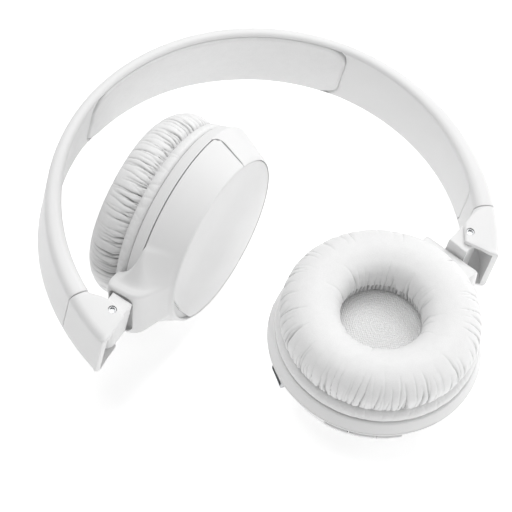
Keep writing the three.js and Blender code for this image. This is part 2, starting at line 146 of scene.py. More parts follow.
# ---------- the parts' own axes, from the frame ----------
joints = {j["name"]: j for j in frame["joints"]}
mounts = {m["name"]: m for m in frame["record"]["mounts"]}


def axes(x, y, z, origin):
    columns = Matrix((x.normalized(), y.normalized(), z.normalized())).transposed().to_4x4()
    columns.translation = origin
    return columns


def band_axes():
    centre = Vector(joints["right_slider_extend"]["pos_m"])
    z = Vector(joints["right_slider_extend"]["axis"]).normalized()
    pins = [Vector(joints[f"{side}_fold"]["pos_m"]) - centre for side in ("left", "right")]
    y = -(pins[0] + pins[1])
    y = (y - z * y.dot(z)).normalized()
    return axes(y.cross(z), y, z, centre)


def cup_axes(side):
    x = -Vector(mounts[f"{side}_face"]["axis"]).normalized()
    swivel = joints[f"{side}_swivel"]
    y = Vector(swivel["axis"]).normalized() * (-1 if side == "left" else 1)
    pin = Vector(swivel["pos_m"])
    return axes(x, y, x.cross(y), pin + x * NECK_OFFSET * MM - y * NECK_LENGTH * MM)


BAND = band_axes()
SIDE = {"left": BAND, "right": BAND @ Matrix.Rotation(math.pi, 4, "Y")}
CUP = {side: cup_axes(side) for side in ("left", "right")}


# ---------- mesh helpers ----------
def smoothstep(low, high, value):
    t = np.clip((np.asarray(value, dtype=float) - low) / (high - low), 0, 1)
    return t * t * (3 - 2 * t)


def resampled(points, count, closed=False):
    """The polyline's points, spread evenly along its length."""
    points = np.asarray(points, dtype=float)
    if closed:
        points = np.vstack([points, points[:1]])
    steps = np.linalg.norm(np.diff(points, axis=0), axis=1)
    reach = np.concatenate([[0], np.cumsum(steps)])
    wanted = np.linspace(0, reach[-1], count, endpoint=not closed)
    return np.stack([np.interp(wanted, reach, points[:, k]) for k in range(points.shape[1])], axis=1)


def rounded(points, radii, steps=6, closed=True):
    """The outline with each corner rounded by its own radius."""
    points = [np.asarray(p, dtype=float) for p in points]
    radii = radii if hasattr(radii, "__len__") else [radii] * len(points)
    out = []
    for i, corner in enumerate(points):
        radius = radii[i]
        ends = not closed and i in (0, len(points) - 1)
        if ends or radius <= 0:
            out.append(corner)
            continue
        before, after = points[i - 1] - corner, points[(i + 1) % len(points)] - corner
        reach = min(radius, 0.48 * np.linalg.norm(before), 0.48 * np.linalg.norm(after))
        start = corner + before / np.linalg.norm(before) * reach
        end = corner + after / np.linalg.norm(after) * reach
        for t in np.linspace(0, 1, steps):
            out.append((1 - t) ** 2 * start + 2 * t * (1 - t) * corner + t * t * end)
    return np.array(out)


def grid_faces(rows, columns, wrap_rows, wrap_columns):
    faces = []
    for i in range(rows if wrap_rows else rows - 1):
        for j in range(columns if wrap_columns else columns - 1):
            a, b = i * columns + j, i * columns + (j + 1) % columns
            c = (i + 1) % rows * columns
            faces.append((a, b, c + (j + 1) % columns, c + j))
    return faces


def piece(name, vertices, faces, place, material, body, nodes=(), slot=None, sharp=35):
    """A new mesh in a part's own axes, riding on its body and standing for its CAD nodes."""
    mesh = bpy.data.meshes.new(name)
    mesh.from_pydata((np.asarray(vertices) * MM).tolist(), [], faces)
    mesh.validate()
    fix_normals(mesh)
    thing = bpy.data.objects.new(name, mesh)
    bpy.context.scene.collection.objects.link(thing)
    thing.matrix_world = place
    mesh.materials.append(material)
    smooth(mesh, sharp)
    if body:
        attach(thing, body)
        if nodes:
            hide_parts(*nodes)
    return thing


def fix_normals(mesh):
    work = bmesh.new()
    work.from_mesh(mesh)
    bmesh.ops.recalc_face_normals(work, faces=work.faces)
    work.to_mesh(mesh)
    work.free()


def smooth(mesh, sharp):
    mesh.polygons.foreach_set("use_smooth", [True] * len(mesh.polygons))
    mesh.set_sharp_from_angle(angle=math.radians(sharp))


def loft(loops, wrap=True):
    """Vertices and faces through closed loops of the same length."""
    loops = np.asarray(loops)
    rows, columns = loops.shape[:2]
    faces = grid_faces(rows, columns, wrap, True)
    if not wrap:
        faces.append(tuple(range(columns)))
        faces.append(tuple(reversed(range((rows - 1) * columns, rows * columns))))
    return loops.reshape(-1, 3), faces


def round_cup(radius, height, angle):
    """Points at a radius, height and angle, in radians from the hinge, in the cup's axes."""
    return np.stack([np.broadcast_to(height, np.shape(radius)), radius * np.cos(angle),
                     -radius * np.sin(angle)], axis=-1)


def turned(profile, sides=SIDES):
    """A closed profile of (radius, height) turned about the cup's axis."""
    profile = np.asarray(profile, dtype=float)
    angles = np.linspace(0, 2 * math.pi, sides, endpoint=False)
    return loft([round_cup(profile[:, 0], profile[:, 1], angle) for angle in angles])


def add_modifier(thing, kind, **settings):
    modifier = thing.modifiers.new(kind.title(), kind)
    for key, value in settings.items():
        setattr(modifier, key, value)
    return modifier


def apply_modifiers(thing):
    bpy.context.view_layer.update()
    graph = bpy.context.evaluated_depsgraph_get()
    mesh = bpy.data.meshes.new_from_object(thing.evaluated_get(graph))
    thing.modifiers.clear()
    thing.data = mesh


def cut(thing, cutter):
    """Takes the cutter's solid out of a closed mesh, and removes the cutter."""
    add_modifier(thing, "BOOLEAN", object=cutter, operation="DIFFERENCE", solver="MANIFOLD")
    apply_modifiers(thing)
    bpy.data.objects.remove(cutter)


def cutter_object(name, vertices, faces):
    mesh = bpy.data.meshes.new(name)
    mesh.from_pydata((np.asarray(vertices) * MM).tolist(), [], faces)
    fix_normals(mesh)
    thing = bpy.data.objects.new(name, mesh)
    bpy.context.scene.collection.objects.link(thing)
    return thing


# ---------- materials ----------
def node_tree(name):
    material = bpy.data.materials.new(name)
    material.use_nodes = True
    nodes = material.node_tree.nodes
    shader = nodes["Principled BSDF"]
    return material, material.node_tree, shader


def add_node(tree, kind, **inputs):
    node = tree.nodes.new(kind)
    for key, value in inputs.items():
        node.inputs[key.replace("_", " ")].default_value = value
    return node


def coordinates(tree):
    return tree.nodes.new("ShaderNodeTexCoord").outputs["Object"]


def noise_texture(tree, vector, scale, detail=4.0, roughness=0.5):
    node = add_node(tree, "ShaderNodeTexNoise", Scale=scale, Detail=detail, Roughness=roughness)
    tree.links.new(vector, node.inputs["Vector"])
    return node.outputs["Fac"]


def mapped(tree, value, low, high, start=0.0, end=1.0):
    node = add_node(tree, "ShaderNodeMapRange", From_Min=low, From_Max=high, To_Min=start, To_Max=end)
    tree.links.new(value, node.inputs["Value"])
    return node.outputs["Result"]


def mixed_colours(tree, factor, first, second):
    node = tree.nodes.new("ShaderNodeMix")
    node.data_type = "RGBA"
    node.inputs[6].default_value = (*first, 1)
    node.inputs[7].default_value = (*second, 1)
    tree.links.new(factor, node.inputs["Factor"])
    return node.outputs[2]


def math_node(tree, operation, first, second):
    node = tree.nodes.new("ShaderNodeMath")
    node.operation = operation
    for socket, value in zip(node.inputs, (first, second)):
        if isinstance(value, (int, float)):
            socket.default_value = value
        else:
            tree.links.new(value, socket)
    return node.outputs[0]


def bump(tree, shader, height, strength, distance):
    node = add_node(tree, "ShaderNodeBump", Strength=strength, Distance=distance)
    tree.links.new(height, node.inputs["Height"])
    tree.links.new(node.outputs["Normal"], shader.inputs["Normal"])


def moulded_plastic(name, colour, shade, roughness, texture=0.12):
    """Moulded plastic: a faint flow mottling, a fine spark-eroded grain and uneven polish."""
    material, tree, shader = node_tree(name)
    place = coordinates(tree)
    mottling = noise_texture(tree, place, 45.0, 5.0, 0.6)
    colours = mixed_colours(tree, mapped(tree, mottling, 0.3, 0.7), colour, shade)
    tree.links.new(colours, shader.inputs["Base Color"])
    grain = noise_texture(tree, place, 2600.0, 3.0, 0.7)
    bump(tree, shader, grain, texture, 0.00006)
    wear = noise_texture(tree, place, 160.0, 6.0, 0.65)
    polish = mapped(tree, wear, 0.3, 0.7, roughness - 0.05, roughness + 0.07)
    tree.links.new(polish, shader.inputs["Roughness"])
    shader.inputs["IOR"].default_value = 1.46
    return material


def metal(name, colour, roughness):
    """Turned or rolled steel with fine scratches and a cloudy finish."""
    material, tree, shader = node_tree(name)
    place = coordinates(tree)
    cloud = noise_texture(tree, place, 220.0, 6.0, 0.6)
    darker = tuple(0.75 * c for c in colour)
    tree.links.new(mixed_colours(tree, cloud, darker, colour), shader.inputs["Base Color"])
    finish = mapped(tree, cloud, 0.3, 0.7, roughness - 0.08, roughness + 0.1)
    tree.links.new(finish, shader.inputs["Roughness"])
    scratches = noise_texture(tree, place, 3000.0, 2.0, 0.8)
    bump(tree, shader, scratches, 0.15, 0.00005)
    shader.inputs["Metallic"].default_value = 1.0
    return material


def leatherette(name, colour, shade):
    """Coated synthetic leather: pebbled grain over soft creases, with painted shade in the grain's valleys and in
    the cushion's deeper creases.
    """
    material, tree, shader = node_tree(name)
    place = coordinates(tree)
    cells = tree.nodes.new("ShaderNodeTexVoronoi")
    cells.feature = "DISTANCE_TO_EDGE"
    cells.inputs["Scale"].default_value = 1500.0
    warp = noise_texture(tree, place, 700.0, 2.0)
    shifted = tree.nodes.new("ShaderNodeVectorMath")
    shifted.operation = "ADD"
    spread = tree.nodes.new("ShaderNodeVectorMath")
    spread.operation = "SCALE"
    spread.inputs["Scale"].default_value = 0.0006
    tree.links.new(warp, spread.inputs[0])
    tree.links.new(place, shifted.inputs[0])
    tree.links.new(spread.outputs[0], shifted.inputs[1])
    tree.links.new(shifted.outputs[0], cells.inputs["Vector"])
    pebbles = mapped(tree, cells.outputs["Distance"], 0.0, 0.22)
    creases = noise_texture(tree, place, 330.0, 6.0, 0.62)
    height = math_node(tree, "ADD", math_node(tree, "MULTIPLY", pebbles, 0.35), creases)
    bump(tree, shader, height, 0.22, 0.00015)
    valley = mapped(tree, height, 0.35, 0.9)
    # Painted shade in the cushions' creases: the crease attribute mixes the colour towards FOLD_SHADE.
    painted_fold_shade = tree.nodes.new("ShaderNodeAttribute")
    painted_fold_shade.attribute_name = "crease"
    grained = mixed_colours(tree, valley, shade, colour)
    shaded = tree.nodes.new("ShaderNodeMix")
    shaded.data_type = "RGBA"
    shaded.inputs[7].default_value = (*FOLD_SHADE, 1)
    tree.links.new(painted_fold_shade.outputs["Fac"], shaded.inputs["Factor"])
    tree.links.new(grained, shaded.inputs[6])
    tree.links.new(shaded.outputs[2], shader.inputs["Base Color"])
    tree.links.new(mapped(tree, creases, 0.3, 0.7, 0.62, 0.48), shader.inputs["Roughness"])
    shader.inputs["Sheen Weight"].default_value = 0.06
    return material


def mesh_cloth(name, light, dark):
    """Open knitted mesh over the driver: two sets of ribs at 45 degrees, with gaps between."""
    material, tree, shader = node_tree(name)
    place = coordinates(tree)
    ribs = []
    for turn in (math.radians(38), math.radians(-52)):
        mapping = add_node(tree, "ShaderNodeMapping", Rotation=(turn, 0.0, 0.0))
        tree.links.new(place, mapping.inputs["Vector"])
        wave = tree.nodes.new("ShaderNodeTexWave")
        wave.bands_direction = "Y"
        wave.inputs["Scale"].default_value = 420.0
        wave.inputs["Distortion"].default_value = 1.1
        wave.inputs["Detail"].default_value = 2.0
        wave.inputs["Detail Scale"].default_value = 1.5
        tree.links.new(mapping.outputs["Vector"], wave.inputs["Vector"])
        ribs.append(wave.outputs["Fac"])
    weave = math_node(tree, "MULTIPLY", *ribs)
    ripple = tree.nodes.new("ShaderNodeTexWave")
    ripple.wave_type = "RINGS"
    ripple.rings_direction = "X"
    ripple.inputs["Scale"].default_value = 260.0
    ripple.inputs["Distortion"].default_value = 9.0
    ripple.inputs["Detail"].default_value = 3.0
    tree.links.new(place, ripple.inputs["Vector"])
    height = math_node(tree, "ADD", weave, math_node(tree, "MULTIPLY", ripple.outputs["Fac"], 0.3))
    bump(tree, shader, height, 0.8, 0.0003)
    colours = mixed_colours(tree, mapped(tree, height, 0.1, 1.2), dark, light)
    tree.links.new(colours, shader.inputs["Base Color"])
    shader.inputs["Roughness"].default_value = 0.9
    shader.inputs["Sheen Weight"].default_value = 0.15
    return material


SHELL = moulded_plastic("shell_plastic", (0.8, 0.8, 0.8), (0.78, 0.78, 0.78), 0.45)
FACE_PLASTIC = moulded_plastic("face_plastic", (0.77, 0.77, 0.77), (0.75, 0.75, 0.75), 0.36, 0.05)
DARK = moulded_plastic("dark_plastic", (0.06, 0.06, 0.065), (0.04, 0.04, 0.045), 0.6, 0.3)
MEMBRANE = moulded_plastic("membrane", (0.3, 0.32, 0.34), (0.24, 0.26, 0.28), 0.35, 0.2)
CELL = moulded_plastic("cell_wrap", (0.14, 0.18, 0.25), (0.11, 0.14, 0.2), 0.4, 0.2)
BOARD = moulded_plastic("board", (0.03, 0.12, 0.06), (0.02, 0.09, 0.05), 0.5, 0.4)
STEEL = metal("steel", (0.62, 0.63, 0.64), 0.3)
LEATHER = leatherette("leatherette", (0.82, 0.82, 0.82), (0.785, 0.785, 0.785))
CLOTH = mesh_cloth("driver_cloth_weave", (0.98, 0.98, 0.98), (0.8, 0.8, 0.8))
BY_SLOT = {
    "shell_plastic": SHELL, "face_plastic": FACE_PLASTIC, "leatherette": LEATHER, "cloth": CLOTH,
    "steel": STEEL, "dark_plastic": DARK, "membrane": MEMBRANE, "cell_wrap": CELL, "board": BOARD,
}

for entry in frame["record"]["subparts"]:
    node = frame["nodes"][entry["node"]]
    node.data.materials.clear()
    node.data.materials.append(BY_SLOT[entry["material_slot"]])


# ---------- headband ----------
def band_thickness(degrees):
    arm = np.clip((np.abs(degrees) - ARM_THICKENING_START) / ARM_THICKENING_SPAN, 0, 1.2)
    return CROWN_THICKNESS + ARM_THICKENING * arm


def band_half_width(y):
    return CROWN_HALF_WIDTH - (CROWN_RISE - y) * WIDTH_TAPER


def band_point(degrees, depth):
    """A point in the band's plane, at an angle from the crown and a depth below the outer face."""
    angle = math.radians(degrees)
    rise = CROWN_RISE if abs(degrees) < 90 else BAND_RADIUS
    along = np.array([BAND_RADIUS * math.cos(angle), -rise * math.sin(angle)])
    along /= np.linalg.norm(along)
    across, down = BAND_RADIUS * math.sin(angle), rise * math.cos(angle)
    return np.array([across + depth * along[1], down - depth * along[0]])


def band_section(degrees, outline):
    """A cross-section, given as (depth, share of the half width or offset in mm), set into the band."""
    loop = []
    for depth, across in outline:
        x, y = band_point(degrees, depth)
        loop.append((x, y, across * band_half_width(y) / CROWN_HALF_WIDTH))
    return loop


def edge_radius(degrees):
    return 0.43 * float(band_thickness(degrees))


def inner_face(degrees, across):
    """Depth of the arm's inner face, which rounds off towards its long edges."""
    radius = edge_radius(degrees)
    beyond = max(0.0, abs(across) - (CROWN_HALF_WIDTH - radius))
    return float(band_thickness(degrees)) - (radius - math.sqrt(max(0.0, radius ** 2 - beyond ** 2)))


def corner_inset(near, corner):
    """How far an outline is drawn in at a distance from an end with rounded corners."""
    return corner - math.sqrt(max(0.0, corner ** 2 - (corner - min(corner, max(near, 0.0))) ** 2))


def shell_outline(degrees):
    """The shell's section as (depth, across): rounded outside, with a shallow recess inside."""
    thick, radius, half = float(band_thickness(degrees)), edge_radius(degrees), CROWN_HALF_WIDTH
    near = (RECESS_END - abs(degrees)) * BAND_RADIUS * math.pi / 180
    inner = half - RIM - corner_inset(near, LINER_CORNER)
    floor = thick - RECESS_DEPTH if near > 0 else thick
    top = [(0.0, share * (half - radius)) for share in (0, 0.33, 0.66)]
    turns = np.linspace(0, math.pi / 2, 9)
    top += [(radius - radius * math.cos(t), half - radius + radius * math.sin(t)) for t in turns]
    acrosses = half - radius + radius * np.sin(np.linspace(math.pi / 2, math.asin(1 - RIM / radius), 9))
    acrosses = np.append(acrosses, np.linspace(half - RIM, inner, 5)[1:])
    top += [(inner_face(degrees, across), across) for across in acrosses]
    top += [(floor, inner), (floor, inner / 2)]
    mirrored = [(depth, -across) for depth, across in reversed(top)][:-1]
    return np.array(top + [(floor, 0.0)] + mirrored)


def end_rounded(degrees, end, radius_deg):
    """How far a section is drawn in, from 0 to 1, near an end that is rounded over."""
    t = max(0.0, (abs(degrees) - (end - radius_deg)) / radius_deg)
    return 1 - math.sqrt(max(0.0, 1 - t * t))


def make_shell():
    half = np.concatenate([np.linspace(0, RECESS_END - 3.6, 140),
                           np.linspace(RECESS_END - 3.5, RECESS_END, 36),
                           np.linspace(RECESS_END + 0.01, SHELL_END - 0.12, 9), [SHELL_END]])
    angles = np.concatenate([-half[:0:-1], half])
    loops = []
    for degrees in angles:
        outline = shell_outline(degrees)
        pull = 0.25 * end_rounded(degrees, SHELL_END, 0.3)
        thick = float(band_thickness(degrees))
        middle = np.array([thick / 2, 0])
        size = np.array([1 - 2 * pull / thick, 1 - pull / CROWN_HALF_WIDTH])
        loops.append(band_section(degrees, middle + (outline - middle) * size))
    return piece("headband_outer_shell", *loft(loops, wrap=False), BAND, SHELL, "headband",
                 ["headband_shell"], "shell_plastic", sharp=32)


def band_cover(name, u_range, bulge, corner, ends, material, node, slot, edge, gap, drop,
               puff=None, to_end=None):
    """A plate in the band's recess, flush with the rounded shell, as a grid closed at the back.

    Its corners are rounded at the given ends, and its edges turn down by a drop over a short width.
    """
    low, high = u_range
    columns, rows = max(60, int((high - low) / 0.55)), 50
    scale = BAND_RADIUS * math.pi / 180
    half = CROWN_HALF_WIDTH - RIM - gap
    top, bottom = [], []
    for v in np.sin(np.linspace(-math.pi / 2, math.pi / 2, rows)):
        for along in np.linspace(low, high, columns):
            degrees = along / scale
            ways = to_end(degrees) if to_end else (along - low, high - along)
            used = [near for rounded_end, near in zip(ends, ways) if rounded_end]
            inset = max(corner_inset(near, corner) for near in used)
            across = v * (half - inset)
            nears = [half - inset - abs(across) + (0 if bulge or inset > 0.05 else edge)] + used
            to_edge = min(1.0, max(min(nears), 0.0) / edge)
            fall = 1 - math.sqrt(1 - (1 - to_edge) ** 2)
            raised = bulge + (puff(along, across) if puff else 0.0)
            face = inner_face(degrees, across) + raised * (1 - fall)
            back = float(band_thickness(degrees)) - COVER_DEPTH
            for store, level in ((top, face - drop * fall), (bottom, back)):
                x, y = band_point(degrees, level)
                store.append((x, y, across * band_half_width(y) / CROWN_HALF_WIDTH))
    faces = grid_faces(rows, columns, False, False)
    count = rows * columns
    faces += [tuple(count + i for i in reversed(face)) for face in faces]
    border = ([j for j in range(columns)] + [i * columns + columns - 1 for i in range(1, rows)]
              + [(rows - 1) * columns + j for j in range(columns - 2, -1, -1)]
              + [i * columns for i in range(rows - 2, 0, -1)])
    for a, b in zip(border, border[1:] + border[:1]):
        faces.append((a, a + count, b + count, b))
    return piece(name, np.array(top + bottom), faces, BAND, material, "headband", [node], slot, sharp=50)


def pad_cutter():
    """The pad's plan outline with its seam gap, as a tall prism."""
    long, wide = PAD_HALF_LENGTH + SEAM_GAP, CROWN_HALF_WIDTH - RIM + 1
    corners = [(-long, -wide), (long, -wide), (long, wide), (-long, wide)]
    outline = rounded(corners, PAD_CORNER + 1.2, 12)
    rings = [[(x, height, z) for x, z in outline] for height in (30, 100)]
    return cutter_object("pad_cutter", *loft(rings, wrap=False))


def make_headband():
    make_shell()
    degree = BAND_RADIUS * math.pi / 180
    pad_reach = degree * math.degrees(math.asin(PAD_HALF_LENGTH / (BAND_RADIUS - CROWN_THICKNESS)))
    rng = np.random.default_rng(SEED)
    lumps = [(rng.uniform(-60, 60), rng.uniform(-12, 12), rng.uniform(7, 16), rng.uniform(-0.16, 0.16))
             for _ in range(60)]

    def puff(along, across):
        return sum(size * math.exp(-((along - a) ** 2 + (2 * (across - b)) ** 2) / reach ** 2)
                   for a, b, reach, size in lumps)

    def pad_ends(degrees):
        x = (BAND_RADIUS - CROWN_THICKNESS) * math.sin(math.radians(degrees))
        return x + PAD_HALF_LENGTH, PAD_HALF_LENGTH - x

    pad = band_cover("headband_cushion_pad", (-pad_reach, pad_reach), PAD_BULGE, PAD_CORNER, (True, True),
                     LEATHER, "headband_pad", "leatherette", 1.4, 0.3, 0.5, puff, pad_ends)
    for side, sign in (("left", -1), ("right", 1)):
        reach = (sign * LINER_START * degree, sign * (RECESS_END - 0.3) * degree)
        liner = band_cover(f"inner_trim_{side}", (min(reach), max(reach)), 0.0, LINER_CORNER,
                           (sign < 0, sign > 0), SHELL, f"inner_liner_{side}", "shell_plastic",
                           0.3, 0.06, 0.12)
        cutter = pad_cutter()
        cutter.matrix_world = BAND
        cut(liner, cutter)
        smooth(liner.data, 40)


# ---------- cups ----------
def cone_radius(height):
    slope = (RING_RADIUS - COVER_EDGE_RADIUS) / (COVER_TOP - COVER_EDGE)
    return COVER_EDGE_RADIUS + (height - COVER_EDGE) * slope


FLARE = [(NECK_END, 0.0), (NECK_END, NECK_HALF_WIDTH), (43.0, 12.1), (41.2, 13.1), (38.9, 15.4), (36.0, 18.8),
         (32.5, 22.8), (28.5, 26.6), (24.5, 29.8), (20.5, 32.2)]


def neck_reach(angle):
    """How far the neck's plan outline reaches from the cup's axis, at an angle from the hinge."""
    outline = resampled(rounded(FLARE, [0, 3.2, 3, 3, 5, 6, 6, 6, 6, 0], 9, closed=False), 700)
    angles = np.arctan2(outline[:, 1], outline[:, 0])
    reach = np.hypot(outline[:, 0], outline[:, 1])
    order = np.argsort(angles)
    return np.interp(abs(angle), angles[order], reach[order], right=0.0)


def make_cover(side):
    samples = 46
    seat = [(COVER_EDGE_RADIUS - 0.35, -17.5), (COVER_EDGE_RADIUS - 0.9, FACE), (PLATE_BORE + 0.12, FACE),
            (PLATE_BORE, FACE + 0.15), (PLATE_BORE, -16.7), (28.0, -16.7), (28.0, -15.5), (31.0, -15.5),
            (36.8, COVER_TOP)]
    cone = rounded([(37.6, COVER_TOP), (RING_RADIUS, COVER_TOP), (COVER_EDGE_RADIUS, COVER_EDGE + 0.1),
                    (COVER_EDGE_RADIUS - 0.3, -17.4)], [0, 0.7, 0.9, 0], 8, closed=False)
    cone = resampled(cone, samples)
    loops = []
    angles = np.linspace(-math.pi, math.pi, 480, endpoint=False)
    for angle in angles:
        reach = float(neck_reach(angle))
        share = float(smoothstep(39.3, 46.2, reach))
        path = cone
        if reach > NECK_ROOT:
            top = COVER_TOP + (NECK_TOP - COVER_TOP) * share
            bottom = COVER_TOP - 0.4 + (NECK_BOTTOM - COVER_TOP + 0.4) * share ** 0.7
            corner = min(2.8, 0.45 * max(0.2, reach - 39.2))
            neck = rounded([(37.6, COVER_TOP), (NECK_ROOT, COVER_TOP), (NECK_ROOT + 0.02, top),
                            (reach, top), (reach, bottom), (COVER_EDGE_RADIUS, COVER_EDGE + 0.1),
                            (COVER_EDGE_RADIUS - 0.3, -17.4)],
                           [0, 0.1, 0.6, corner, 5.0, 1.2, 0], 9, closed=False)
            neck = resampled(neck, samples)
            blend = float(smoothstep(NECK_ROOT, NECK_ROOT + 0.5, reach))
            path = cone * (1 - blend) + neck * blend
        profile = np.vstack([path, seat])
        loops.append(round_cup(profile[:, 0], profile[:, 1], angle))
    vertices, faces = loft(loops)
    cover = piece(f"cup_cover_{side}", vertices, faces, CUP[side], SHELL, None, sharp=40)
    cutters = [mouth_cutter(), tail_cutter()]
    for cutter in cutters:
        cutter.matrix_world = CUP[side]
        add_modifier(cover, "BOOLEAN", object=cutter, operation="DIFFERENCE", solver="EXACT")
    apply_modifiers(cover)
    for cutter in cutters:
        bpy.data.objects.remove(cutter)
    smooth(cover.data, 40)
    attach(cover, f"{side}_cup")
    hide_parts(f"outer_cover_{side}")
    return cover


def mouth_cutter():
    """The recess in the neck's end that the knuckle reaches into."""
    half_w, half_h = MOUTH_HALF_WIDTH, MOUTH_HALF_HEIGHT
    outline = rounded([(-half_w, -half_h), (half_w, -half_h), (half_w, half_h), (-half_w, half_h)], 3.4, 9)
    loops = [[(-NECK_OFFSET - 0.1 + h, along, w) for w, h in outline * grow]
             for along, grow in ((MOUTH_FLOOR, 0.93), (MOUTH_FLOOR + 0.25, 0.985), (MOUTH_FLOOR + 0.7, 1.0),
                                 (NECK_END - 0.5, 1.0), (NECK_END - 0.15, 1.02), (NECK_END + 0.1, 1.06),
                                 (NECK_END + 3, 1.1))]
    return cutter_object("mouth_cutter", *loft(loops, wrap=False))


def tail_reach(heights):
    """Half the tail's width, in degrees, at each height: it widens in a fillet where it joins the ring."""
    below = np.clip(COVER_TOP - np.asarray(heights), 0, TAIL_FILLET)
    spread = TAIL_FILLET - np.sqrt(TAIL_FILLET ** 2 - (TAIL_FILLET - below) ** 2)
    return TAIL_HALF_ANGLE + np.degrees(spread / RING_RADIUS)


def tail_loops(profile, shares, margin=0.0):
    """Slices of a turned profile across the tail; a share of -1 or 1 is one of its two edges."""
    profile = np.asarray(profile, dtype=float)
    reach = tail_reach(profile[:, 1]) - margin
    return [round_cup(profile[:, 0], profile[:, 1], np.radians(180 - share * reach)) for share in shares]


def tail_cutter():
    inner = PLATE_RADIUS + 0.05
    heights = np.concatenate([[-30], np.linspace(COVER_TOP - TAIL_FILLET, COVER_TOP, 14), [0]])
    profile = [(60, height) for height in heights] + [(inner, height) for height in reversed(heights)]
    return cutter_object("tail_cutter", *loft(tail_loops(profile, np.linspace(-1, 1, 161)), wrap=False))


def make_ring(side):
    """The housing ring, which runs down to the face at the end away from the hinge."""
    upper = rounded([(33.2, -0.2), (33.2, -4.7), (RING_RADIUS - 0.05, -4.7), (RING_TOP_RADIUS, 0)],
                    [0.2, 0.1, 0.45, 0.7], 8)
    ring_vertices, ring_faces = turned(upper)
    edge = cone_radius(-4.55)
    lower = rounded([(36.8, -4.5), (edge - 0.1, -4.5), (RING_RADIUS + 0.02, -5.0),
                     (COVER_EDGE_RADIUS, COVER_EDGE), (COVER_EDGE_RADIUS - 0.9, FACE),
                     (PLATE_BORE + 0.1, FACE), (PLATE_BORE, -14.8)],
                    [0, 0.1, 0.8, 0.9, 0.3, 0.1, 0], 8)
    lower = resampled(lower, 90, closed=True)
    ring = piece(f"cup_ring_{side}", ring_vertices, ring_faces, CUP[side], SHELL, None, sharp=30)
    tail_vertices, tail_faces = loft(tail_loops(lower, np.linspace(-1, 1, 321), margin=0.45), wrap=False)
    tail = piece(f"ring_tail_{side}", tail_vertices, tail_faces, CUP[side], SHELL, None, sharp=30)
    if side == "right":
        for name in BUTTONS:
            cut_pocket(tail, name, BUTTON_WINDOW)
        cut_pocket(tail, "charging_port", PORT_WINDOW)
        smooth(tail.data, 30)
    join_into(ring, tail)
    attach(ring, f"{side}_cup")
    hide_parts(f"housing_ring_{side}")
    return ring


def join_into(whole, part):
    """Adds one mesh to another that shares its axes, and removes what is left over."""
    both = bmesh.new()
    both.from_mesh(whole.data)
    both.from_mesh(part.data)
    both.to_mesh(whole.data)
    both.free()
    bpy.data.objects.remove(part)


def cut_pocket(tail, name, grow):
    """Cuts the window that a control sits in: the hull of the control's own shape, grown by its gap."""
    low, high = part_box(name)
    middle = (Vector(low) + Vector(high)) / 2
    hull = bmesh.new()
    for vertex in frame["nodes"][name].data.vertices:
        hull.verts.new(middle + grow * (vertex.co - middle))
    bmesh.ops.remove_doubles(hull, verts=hull.verts, dist=0.001 * MM)
    bmesh.ops.convex_hull(hull, input=hull.verts, use_existing_faces=False)
    bmesh.ops.delete(hull, geom=[v for v in hull.verts if not v.link_faces], context="VERTS")
    cutter = bpy.data.objects.new(f"{name}_pocket", bpy.data.meshes.new(f"{name}_pocket"))
    hull.to_mesh(cutter.data)
    hull.free()
    bpy.context.scene.collection.objects.link(cutter)
    cut(tail, cutter)


def make_face_plate(side):
    """The face disc, which stands back from its seat in a thin crescent beside the neck."""
    loops = []
    for angle in np.linspace(0, 2 * math.pi, SIDES, endpoint=False):
        off = math.remainder(angle - CRESCENT_ANGLE, 2 * math.pi)
        edge = PLATE_EDGE - CRESCENT_WIDTH * math.exp(-(off / CRESCENT_REACH) ** 4)
        profile = rounded([(0.01, -16.75), (edge, -16.75), (edge, FACE + 0.12), (20, FACE + 0.1),
                           (0.01, FACE + 0.08)], [0, 0.1, 0.35, 4, 0], 7)
        loops.append(round_cup(profile[:, 0], profile[:, 1], angle))
    return piece(f"cup_face_{side}", *loft(loops), CUP[side], FACE_PLASTIC, f"{side}_cup",
                 [f"face_plate_{side}"], "face_plastic", sharp=40)


# ---------- soft parts of the cup ----------
def crease_field(rng, count, width, depth, reach, slant):
    """Random creases: (angle, width, depth, how far it runs, slant), one for each."""
    angles = np.sort((np.arange(count) + rng.uniform(-0.42, 0.42, count)) * 2 * math.pi / count)
    return np.stack([angles, rng.uniform(*width, count), rng.uniform(*depth, count),
                     rng.uniform(*reach, count), rng.uniform(-slant, slant, count)], axis=1)


def creases_at(field, angle, along):
    """Depth of the creases at an angle, and a distance from their seam: sharp valleys between soft rolls."""
    total = np.zeros_like(angle)
    for centre, width, depth, reach, slant in field:
        wander = slant * along + 0.35 * width * np.sin(along * 0.9 + 40 * centre)
        offset = np.abs(np.angle(np.exp(1j * (angle - centre - wander))))
        opened = width * (0.6 + 0.9 * along / reach)
        fade = np.clip(1 - along / reach, 0, 1) ** 0.6
        total += depth * np.exp(-offset / opened) * fade
    return total


def cushion_loop():
    """The cushion's section, from its outer seam over the crown to the inner seam, then back underneath."""
    outer = [(33.7, CUSHION_BASE), (35.3, 6.5), (CUSHION_OUTER, 9.4), (35.8, 12.6), (34.2, 15.9),
             (31.2, 18.4), (27.0, CUSHION_CROWN), (22.6, 19.4), (18.6, 18.0), (16.3, 15.9),
             (CUSHION_INNER + 0.1, 12.8), (CUSHION_INNER + 0.1, 8.6), (15.9, 5.4)]
    path = resampled(rounded(outer, [0] + [3.5] * 11 + [0], 7, closed=False), CUSHION_ROWS)
    under = resampled([(15.9, 5.4), (19.5, 5.0), (32.6, 2.6), (33.7, CUSHION_BASE)], 12)[1:-1]
    return path, under


def store_fold_shade(thing, amounts):
    """Keeps how deep each point lies in a fold, which the leatherette turns into painted shade."""
    layer = thing.data.attributes.new("crease", "FLOAT", "POINT")
    layer.data.foreach_set("value", np.clip(amounts, 0, 1).astype(np.float32).ravel())


